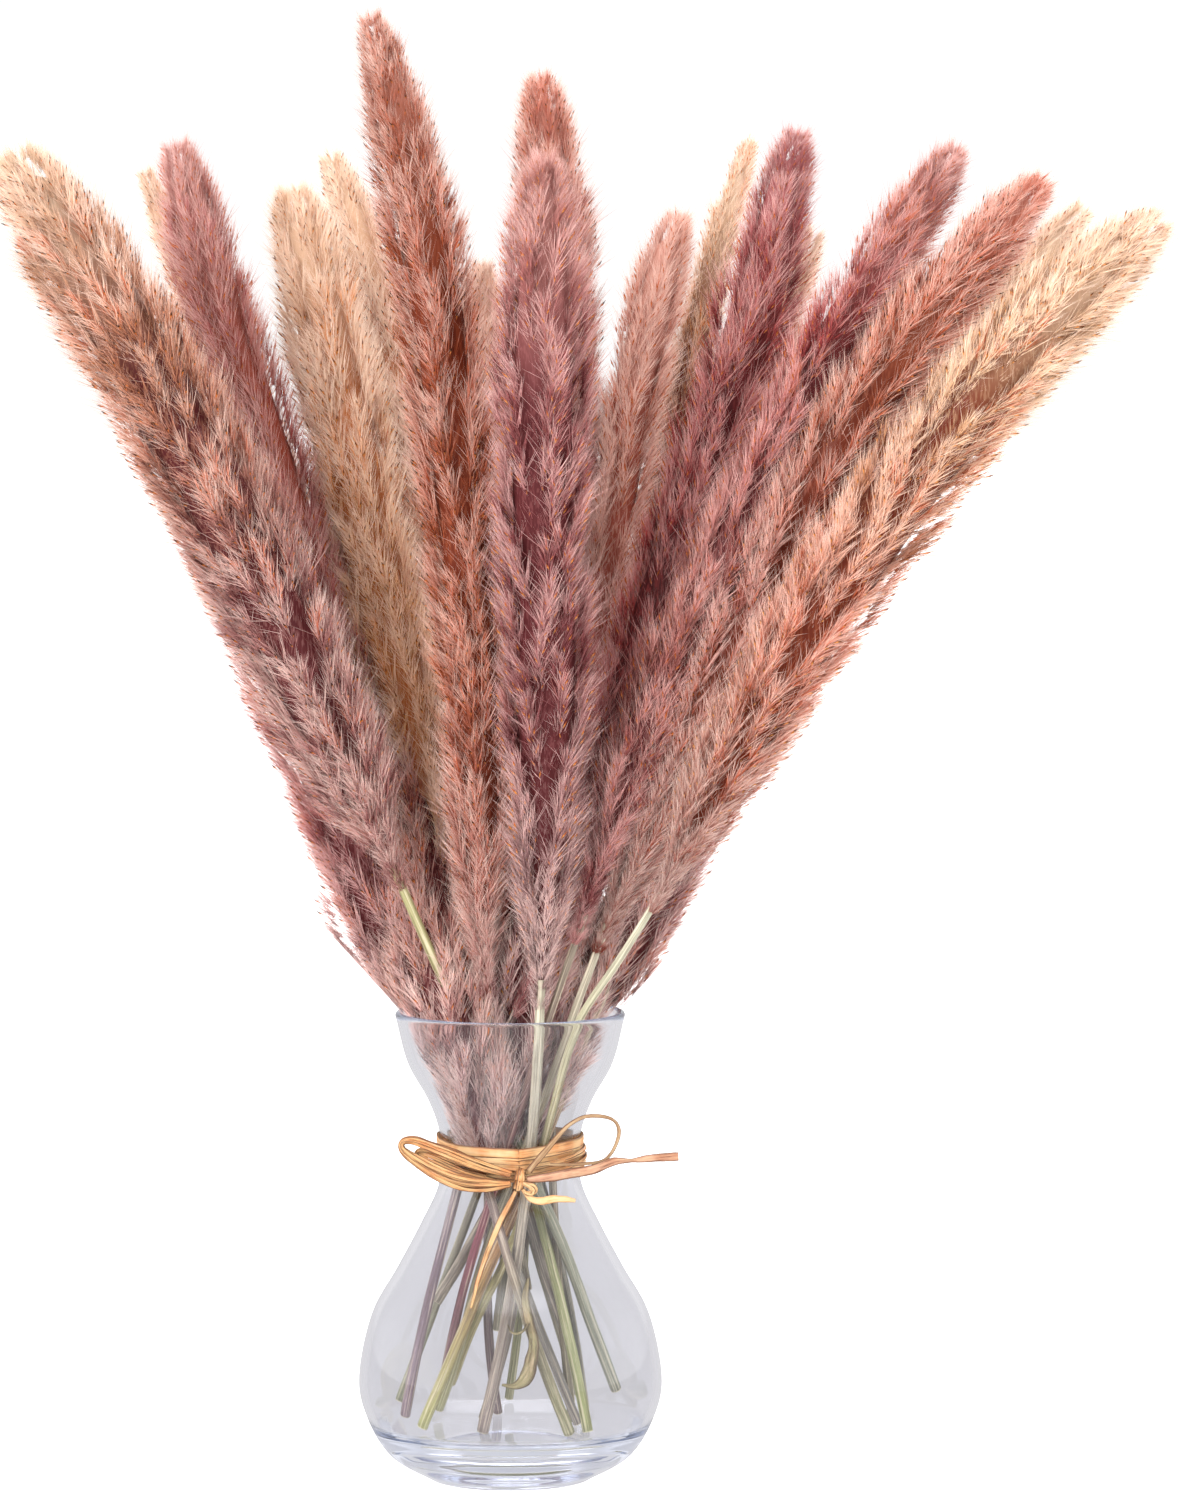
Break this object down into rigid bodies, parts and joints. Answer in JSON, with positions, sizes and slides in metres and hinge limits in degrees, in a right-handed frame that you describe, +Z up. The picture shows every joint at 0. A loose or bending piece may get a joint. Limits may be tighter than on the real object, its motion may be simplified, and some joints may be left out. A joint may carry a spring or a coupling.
{
  "type": "vase of dried pampas grass",
  "caption": "Clear glass bulb vase holding a fan of dried pampas reeds with soft feathery plumes in cream, rust and mauve, tied at the neck with a raffia bow.",
  "frame": {"origin": "centre of the vase's flat underside, on the surface it stands on", "axes": "+Z up along the vase's axis; the raffia knot and the front of the bunch face -Y; +X is to the right seen from the front"},
  "size_m": [0.3622, 0.1838, 0.4716],
  "materials": {
    "glass": "polished",
    "plume_cream": "matte",
    "plume_straw": "matte",
    "plume_mauve": "matte",
    "plume_rust": "matte",
    "plume_peach": "matte",
    "plume_rose": "matte",
    "plume_coral": "matte",
    "plume_gold": "matte",
    "plume_plum": "matte",
    "plume_tan": "matte",
    "stem_sage": "satin",
    "stem_lime": "satin",
    "stem_olive": "satin",
    "stem_taupe": "satin",
    "stem_purple": "satin",
    "raffia": "satin",
    "dry_leaf": "matte"
  },
  "bodies": {
    "root": {"vase": "glass", "stem_01": "stem_sage", "plume_01": "plume_cream", "stem_02": "stem_sage", "plume_02": "plume_straw", "stem_03": "stem_lime", "plume_03": "plume_mauve", "stem_04": "stem_taupe", "plume_04": "plume_cream", "stem_05": "stem_olive", "plume_05": "plume_straw", "stem_06": "stem_purple", "plume_06": "plume_rust", "stem_07": "stem_olive", "plume_07": "plume_peach", "stem_08": "stem_olive", "plume_08": "plume_rose", "stem_09": "stem_taupe", "plume_09": "plume_mauve", "stem_10": "stem_olive", "plume_10": "plume_coral", "stem_11": "stem_taupe", "plume_11": "plume_gold", "stem_12": "stem_purple", "plume_12": "plume_plum", "stem_13": "stem_olive", "plume_13": "plume_tan", "stem_14": "stem_purple", "plume_14": "plume_plum", "stem_15": "stem_sage", "plume_15": "plume_rust", "stem_16": "stem_lime", "plume_16": "plume_tan", "stem_17": "stem_lime", "plume_17": "plume_peach", "stem_18": "stem_taupe", "plume_18": "plume_rose", "stem_19": "stem_taupe", "plume_19": "plume_rust", "stem_20": "stem_olive", "plume_20": "plume_mauve", "stem_21": "stem_olive", "plume_21": "plume_mauve", "raffia_wrap_upper": "raffia", "raffia_wrap_middle": "raffia", "raffia_wrap_lower": "raffia", "raffia_knot": "raffia", "raffia_loop_left": "raffia", "raffia_loop_left_back": "raffia", "raffia_loop_right": "raffia", "raffia_tail_right": "raffia", "raffia_tail_short": "raffia", "raffia_tail_front": "raffia", "dry_leaf": "dry_leaf"}
  },
  "joints": []
}
